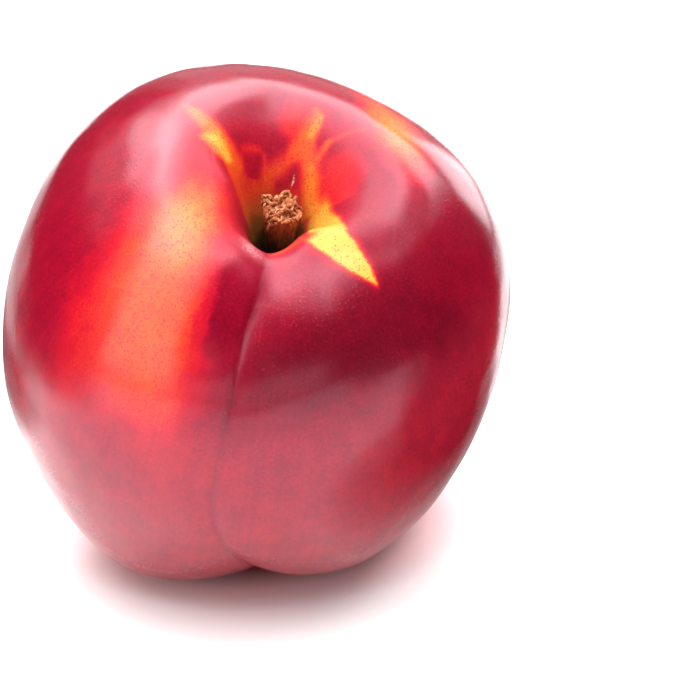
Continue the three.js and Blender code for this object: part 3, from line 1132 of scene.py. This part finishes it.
@dataclass(frozen=True)
class TornFibres:
    """The curled ends of wood fibres that stand on the stub's torn end.

    Attributes:
        per_mm2: How many fibres there are on each square millimetre.
        length: A fibre's length, in millimetres.
        thickness: Its radius, in millimetres.
        curl: How far its end is bent aside, in millimetres.
        seed: Fixes where they stand and how they are turned.
    """

    stub: StalkStub
    per_mm2: float = 3.2
    length: float = 0.62
    thickness: float = 0.25
    curl: float = 0.95
    seed: int = 7

    def grower(self, material: Material) -> NodeTree:
        """Makes the geometry nodes that grow the fibres on a surface.

        Args:
            material: The fibres' material.

        Returns:
            The node tree.
        """
        sizes = dict.fromkeys(("Density", "Length", "Thickness", "Curl"), "Float")
        kinds = {"Surface": "Geometry"} | sizes
        graph = new_group("torn fibres", kinds, "Geometry", "Geometry")
        given = graph.add("NodeGroupInput").outputs
        inputs = {"Mesh": given["Surface"], "Density": given["Density"], "Seed": self.seed}
        spots = graph.add("GeometryNodeDistributePointsOnFaces", inputs=inputs).outputs
        # Each fibre rises towards 1.5 of its length, then bends aside and down to 0.3 of it.
        high = graph.add("Math", given["Length"], 1.5, operation="MULTIPLY")
        middle = graph.add("CombineXYZ", inputs={"Z": high})
        low = graph.add("Math", given["Length"], 0.3, operation="MULTIPLY")
        end = graph.add("CombineXYZ", inputs={"X": given["Curl"], "Z": low})
        inputs = {"Resolution": 6, "Start": (0.0, 0.0, 0.0), "Middle": middle, "End": end}
        bend = graph.add("GeometryNodeCurveQuadraticBezier", inputs=inputs)
        along = graph.add("GeometryNodeSplineParameter").outputs["Factor"]
        thin = graph.add("MapRange", along, 0.0, 1.0, 1.0, 0.45)
        inputs = {"Curve": bend, "Radius": thin}
        bend = graph.add("GeometryNodeSetCurveRadius", inputs=inputs)
        inputs = {"Resolution": 6, "Radius": given["Thickness"]}
        outline = graph.add("GeometryNodeCurvePrimitiveCircle", inputs=inputs)
        inputs = {"Curve": bend, "Profile Curve": outline, "Fill Caps": True}
        fibre = graph.add("GeometryNodeCurveToMesh", inputs=inputs)
        inputs = {"Min": (-0.9, -0.9, 0.0), "Max": (0.9, 0.9, 2 * math.pi), "Seed": self.seed}
        lean = graph.add("FunctionNodeRandomValue", inputs=inputs, data_type="FLOAT_VECTOR")
        inputs = {"Rotation": spots["Rotation"], "Rotate By": lean}
        turn = graph.add("FunctionNodeRotateRotation", inputs=inputs, rotation_space="LOCAL")
        inputs = {"Min": 0.45, "Max": 1.25, "Seed": self.seed + 1}
        size = graph.add("FunctionNodeRandomValue", inputs=inputs, data_type="FLOAT")
        inputs = {"Points": spots["Points"], "Instance": fibre, "Rotation": turn, "Scale": size}
        grown = graph.add("GeometryNodeInstanceOnPoints", inputs=inputs)
        real = graph.add("GeometryNodeRealizeInstances", grown)
        inputs = {"Geometry": real, "Material": material}
        dressed = graph.add("GeometryNodeSetMaterial", inputs=inputs)
        graph.add("NodeGroupOutput", dressed)
        return graph.tree

    def surface(self) -> Object:
        """Builds the torn end's surface that the fibres grow on.

        Returns:
            The surface, which is removed once they have grown.
        """
        columns, rows = 40, 8
        angle = -2 * math.pi * np.arange(columns) / columns
        reach = np.linspace(1.02, 0.04, rows)
        points = self.stub.at(np.array(1.0), reach[:, None], angle[None, :])
        placed = self.stub.pose.place(points.reshape(-1, 3))
        faces = []
        for row in range(rows - 1):
            here, inner = row * columns, (row + 1) * columns
            for column in range(columns):
                after = (column + 1) % columns
                faces.append((here + column, inner + column, inner + after, here + after))
        return smooth_piece("torn end", placed, faces)

    def build(self, material: Material) -> Object:
        """Grows the fibres and turns them into a plain mesh.

        Args:
            material: The fibres' material.

        Returns:
            The piece.
        """
        ground = self.surface()
        grow = ground.modifiers.new("fibres", "NODES")
        grow.node_group = self.grower(material)
        sizes = {
            "Density": self.per_mm2 / MM**2,
            "Length": self.length * MM,
            "Thickness": self.thickness * MM,
            "Curl": self.curl * MM,
        }
        for item in grow.node_group.interface.items_tree:
            if item.name in sizes:
                grow[item.identifier] = sizes[item.name]
        evaluated = ground.evaluated_get(bpy.context.evaluated_depsgraph_get())
        mesh = bpy.data.meshes.new_from_object(evaluated)
        mesh.name = "stalk_fibres"
        ground.modifiers.clear()
        bpy.data.objects.remove(ground)
        mesh.shade_smooth()
        return new_object("stalk_fibres", mesh)


# ---- The studio ------------------------------------------------------------------------------


class Side(Enum):
    """Which way a light faces."""

    DOWN = "down"
    TO_FRUIT = "to the fruit"


@dataclass(frozen=True)
class SoftLight:
    """A flat soft light or reflector.

    Attributes:
        name: The light's name.
        centre: Where its middle is, in metres.
        size: Its width and height, in metres.
        radiance: How bright its face is, where 1 is white in the picture.
        layers: The sizes of its panels, as shares of its own size.
        yaw: Degrees that a light facing down is turned.
        faces: Which way it faces.
    """

    name: str
    centre: Point
    size: Spot
    radiance: float
    layers: tuple[float, ...] = (1.0,)
    yaw: float = 0.0
    faces: Side = Side.DOWN

    @classmethod
    def card(
        cls,
        name: str,
        azimuths: Spot,
        elevations: Spot,
        distance: float,
        radiance: float,
        layers: tuple[float, ...],
    ) -> SoftLight:
        """Makes an upright light that fills a range of directions as seen from the fruit.

        Args:
            name: The light's name.
            azimuths: The azimuths of its sides, in degrees.
            elevations: The elevations of its lower and upper edge, in degrees.
            distance: How far off it stands, in metres.
            radiance: How bright its face is.
            layers: The sizes of its panels.

        Returns:
            The light.
        """
        middle = math.radians(sum(azimuths) / 2)
        half = math.radians((azimuths[1] - azimuths[0]) / 2)
        low, high = (distance * math.tan(math.radians(angle)) for angle in elevations)
        centre = (distance * math.sin(middle), -distance * math.cos(middle), (low + high) / 2)
        size = (2 * distance * math.tan(half), high - low)
        return cls(name, centre, size, radiance, layers, faces=Side.TO_FRUIT)

    def build(self) -> None:
        """Builds the light as panels in front of each other, so that it fades to its edges."""
        flat = Vector((-self.centre[0], -self.centre[1], 0.0))
        turn = flat.to_track_quat("-Z", "Y").to_euler()
        if self.faces is Side.DOWN:
            turn = Euler((0.0, 0.0, math.radians(self.yaw)))
        gap = Vector((0.0, 0.0, -PANEL_GAP))
        gap.rotate(turn)
        for step, share in enumerate(self.layers):
            data = bpy.data.lights.new(self.name, "AREA")
            data.shape = "RECTANGLE"
            data.size, data.size_y = (side * share for side in self.size)
            data.energy = self.radiance / len(self.layers) * math.pi * data.size * data.size_y
            light = new_object(self.name, data)
            light.location = Vector(self.centre) + step * gap
            light.rotation_euler = turn
            light.visible_camera = False


@dataclass(frozen=True)
class Flag:
    """A soft-edged black card that is seen only in the gloss of the skin.

    Attributes:
        name: The card's name.
        azimuth: The azimuth at which it stands, in degrees.
        distance: How far off it stands, in metres.
        height: How high its middle is, in metres.
        half_size: Half its width and half its height, in metres.
        lies: Whether it lies flat on the table.
        depth: How black it is at its middle, from 0 to 1.
    """

    name: str
    azimuth: float
    distance: float
    height: float
    half_size: Spot
    lies: bool = False
    depth: float = 1.0

    def build(self) -> None:
        """Builds the card, of velvet that gives the eye a dark with no shine."""
        turn = math.radians(self.azimuth)
        out = np.array([math.sin(turn), -math.cos(turn), 0.0])
        middle = out * self.distance + np.array([0.0, 0.0, self.height])
        half_width, half_height = self.half_size
        aside = np.array([math.cos(turn), math.sin(turn), 0.0]) * half_width
        rise = (out if self.lies else np.array([0.0, 0.0, 1.0])) * half_height
        points = middle + np.stack([-aside - rise, aside - rise, aside + rise, rise - aside])
        card = smooth_piece(self.name, points, [(0, 1, 2, 3)])
        material, graph, shader = new_material("black velvet")
        here = graph.add("TexCoord").outputs["Object"]
        nap = graph.add("TexNoise", here, inputs={"Scale": 400.0})
        colour = graph.add("ValToRGB", nap)
        paint_ramp(colour, {0.3: "#0a0405", 0.7: "#1a0508"})
        frame = (tuple(middle), (0.0, 0.0, turn), (half_width, half_height, half_height))
        spot = graph.add("Mapping", here, *frame, vector_type="TEXTURE")
        square = graph.add("VectorMath", spot, spot, operation="MULTIPLY")
        edge = graph.add("VectorMath", square, square, operation="DOT_PRODUCT")
        solid = graph.add("MapRange", edge, 0.04, 1.0, self.depth, 0.0)
        looks = {"Base Color": colour, "Alpha": solid, "Roughness": 1.0, "Specular IOR Level": 0.0}
        graph.feed(shader, looks)
        card.data.materials.append(material)
        for ray in ("camera", "diffuse", "transmission", "volume_scatter", "shadow"):
            setattr(card, f"visible_{ray}", False)


@dataclass(frozen=True)
class Beam:
    """A narrow beam with a soft edge that reaches into the cavity and adds no shine.

    Attributes:
        name: The beam's name.
        start: Where it comes from, in metres.
        aim: What it points at, in metres.
        half_width: The radius of its spot there, in metres.
        level: The light it lays on a face that looks at it, where 1 makes a white card white.
    """

    name: str
    start: Point
    aim: Point
    half_width: float
    level: float

    def build(self) -> None:
        """Builds the beam."""
        way = Vector(self.aim) - Vector(self.start)
        data = bpy.data.lights.new(self.name, "SPOT")
        data.spot_size = 2 * math.atan(self.half_width / way.length)
        data.spot_blend = 1.0
        data.shadow_soft_size = 0.02
        data.energy = self.level * (2 * math.pi * way.length) ** 2
        light = new_object(self.name, data)
        light.location = self.start
        light.rotation_euler = way.to_track_quat("-Z", "Y").to_euler()
        light.visible_camera = light.visible_glossy = False


@dataclass(frozen=True)
class Studio:
    """A white table under a big soft box, with reflectors round it, and the camera."""

    pose: RestPose
    lights: tuple[SoftLight, ...] = (
        SoftLight("soft box", (0.12, 0.32, 1.0), (1.56, 2.04), 3.1, (1.0, 0.87), -20.0),
        SoftLight("soft box's edge", (0.12, 0.32, 1.03), (1.9, 2.42), 2.1, (1.0, 0.8), -20.0),
        SoftLight("back left fill", (-1.0, 1.0, 1.02), (1.5, 1.5), 0.8, (1.0, 0.7)),
        SoftLight.card("left reflector", (-74.0, -33.0), (0.0, 56.0), 1.1, 1.5, (1.0, 0.9)),
        SoftLight.card("left reflector's edge", (-86.0, -30.0), (0.0, 60.0), 1.13, 0.9, (1.0, 0.8)),
        SoftLight.card("front card", (-33.0, 29.0), (-1.0, 14.0), 1.1, 1.1, (1.0, 0.8, 0.6)),
        SoftLight.card("back right light", (127.0, 156.0), (0.0, 28.0), 1.2, 4.1, (1.0, 0.8)),
        SoftLight.card("back wall", (150.0, 194.0), (2.0, 34.0), 1.3, 0.5, (1.0, 0.8)),
        SoftLight("right panel", (0.55, -0.12, 1.03), (0.8, 1.0), 2.2, (1.0, 0.8, 0.6)),
        SoftLight("window", (-0.48, 0.3, 0.97), (0.34, 1.15), 3.0, (1.0, 0.75, 0.5)),
        SoftLight("left panel", (-0.72, 0.68, 1.06), (0.45, 1.1), 3.0, (1.0, 0.75)),
    )
    flags: tuple[Flag, ...] = (
        Flag("right flag", 69.0, 0.075, 0.028, (0.030, 0.046)),
        Flag("right side flag", 92.0, 0.070, 0.030, (0.024, 0.034)),
        Flag("left flag", -85.0, 0.066, 0.048, (0.042, 0.030)),
        Flag("left side flag", -120.0, 0.070, 0.038, (0.036, 0.034), False, 0.6),
        Flag("right table flag", 78.0, 0.078, 0.0005, (0.055, 0.060), True),
        Flag("hung flag", 100.0, 0.61, 0.95, (0.46, 0.36), True, 0.9),
        Flag("back table flag", 148.0, 0.088, 0.0005, (0.034, 0.036), True, 0.7),
        Flag("left table flag", -126.0, 0.088, 0.0005, (0.048, 0.038), True, 0.85),
    )
    beams: tuple[Beam, ...] = (
        Beam("table light", (-0.06, -0.30, 0.14), (0.0, -0.032, 0.010), 0.07, 0.32),
        Beam("cavity light", (0.080, -0.190, 0.282), (0.002, -0.0068, 0.059), 0.015, 1.5),
    )
    distance: float = 0.300
    elevation: float = 25.0
    focal_pixels: float = 2109.0
    frame_pixels: int = 700
    middle_in_frame: Spot = (261.5, 320.9)
    floor_radius: float = 0.55
    floor_sink: float = 0.02 * MM

    def add_camera(self) -> None:
        """Adds the camera, turned so that the fruit sits left of the middle of the frame."""
        data = bpy.data.cameras.new("camera")
        data.sensor_width = 36.0
        data.lens = self.focal_pixels * data.sensor_width / self.frame_pixels
        data.clip_start = 0.01
        rise = math.radians(self.elevation)
        middle = Vector(self.pose.middle) * MM
        back = Vector((0.0, -math.cos(rise), math.sin(rise)))
        up = Vector((0.0, math.sin(rise), math.cos(rise)))
        scale = self.distance / self.focal_pixels
        right_by, down_by = ((self.frame_pixels / 2 - at) * scale for at in self.middle_in_frame)
        aim = middle + Vector((right_by, 0.0, 0.0)) - up * down_by
        camera = new_object("camera", data)
        camera.location = middle + back * self.distance
        camera.rotation_euler = (aim - camera.location).to_track_quat("-Z", "Y").to_euler()
        bpy.context.scene.camera = camera

    def add_floor(self) -> None:
        """Adds the table top: white laminate with a sheen, with a painted contact shadow under the
        fruit, reddened as painted bounce light from it.
        """
        steps = 128
        angle = 2 * math.pi * np.arange(steps) / steps
        points = np.stack([np.cos(angle), np.sin(angle), np.zeros(steps)], axis=-1)
        points *= self.floor_radius
        points[:, 2] = -self.floor_sink
        floor = smooth_piece("floor", points, [tuple(range(steps))])
        material, graph, shader = new_material("white table top with painted shadow")
        here = graph.add("TexCoord").outputs["Object"]
        cloud = graph.add("TexNoise", here, inputs={"Scale": 9.0, "Detail": 2.0})
        # Painted contact shadow: close round the fruit the table's colour darkens to a dark red, a
        # painted shadow with painted red bounce light from the skin.
        painted_shadow_falloff = graph.add("Mapping", here, inputs={"Scale": (25.0, 25.0, 25.0)})
        painted_shadow_falloff = graph.add("TexGradient", painted_shadow_falloff, gradient_type="SPHERICAL").outputs["Fac"]
        tone = graph.add("Math", painted_shadow_falloff, -0.8, cloud, operation="MULTIPLY_ADD")
        colour = graph.add("ValToRGB", tone)
        paint_ramp(colour, {0.0: "#94494f", 0.15: "#ecc2c4", 0.28: "#f3e9ea", 0.45: "#efefef"})
        looks = {"Base Color": colour, "Roughness": 0.3, "Specular IOR Level": 0.5}
        graph.feed(shader, looks)
        floor.data.materials.append(material)

    def add_surroundings(self) -> None:
        """Makes the room a plain white to look at, and dim in reflections."""
        world = bpy.data.worlds.new("studio")
        bpy.context.scene.world = world
        world.use_nodes = True
        graph = Graph(world.node_tree)
        graph.tree.nodes.clear()
        seen = graph.add("LightPath").outputs["Is Camera Ray"]
        level = graph.add("MapRange", seen, 0.0, 1.0, 0.06, 1.05)
        graph.add("OutputWorld", graph.add("Background", linear("#ffffff"), level))

    def build(self) -> None:
        """Builds the camera, the floor, the lights and the room."""
        self.add_camera()
        self.add_floor()
        for thing in (*self.lights, *self.flags, *self.beams):
            thing.build()
        self.add_surroundings()
        bpy.context.scene.view_settings.view_transform = "Standard"


# ---- The whole -------------------------------------------------------------------------------


def finish_piece(piece: Object, node: str | None = None) -> None:
    """Fixes a piece to the fruit's body, and reports it.

    Args:
        piece: The piece.
        node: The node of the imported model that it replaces, if it does.
    """
    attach(piece, BODY)
    if node is not None:
        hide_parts(node)
    piece.data.calc_loop_triangles()
    log.info("%s: %d triangles", piece.name, len(piece.data.loop_triangles))


def main() -> None:
    """Builds the fruit, its stalk and the studio."""
    logging.basicConfig(level=logging.INFO, format="%(name)s: %(message)s")
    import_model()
    pose, stalk = RestPose(), Stalk()

    skin = Skin(pose, stalk).build()
    skin.data.materials.append(NectarineSkin(pose).make())
    finish_piece(skin, "fruit")

    stub = StalkStub(pose, stalk)
    # Towards the stalk's foot its tone is lowered by painted shade, down to the darkest of these
    # colours.
    side_colours = {0.15: "#120c05", 0.4: "#2e2412", 0.62: "#7a4224", 0.9: "#b4683c"}
    wood = StalkWood(pose, "dried stalk wood", side_colours).make()
    stub_piece = stub.build()
    stub_piece.data.materials.append(wood)
    finish_piece(stub_piece, "stalk")

    fibre_colours = {0.35: "#1c0803", 0.68: "#5f2409", 0.86: "#96481d", 1.0: "#dc9c6c"}
    torn = StalkWood(pose, "torn wood fibre", fibre_colours, 1.0).make()
    fibres = TornFibres(stub).build(torn)
    finish_piece(fibres)

    Studio(pose).build()


if __name__ == "__main__":
    main()
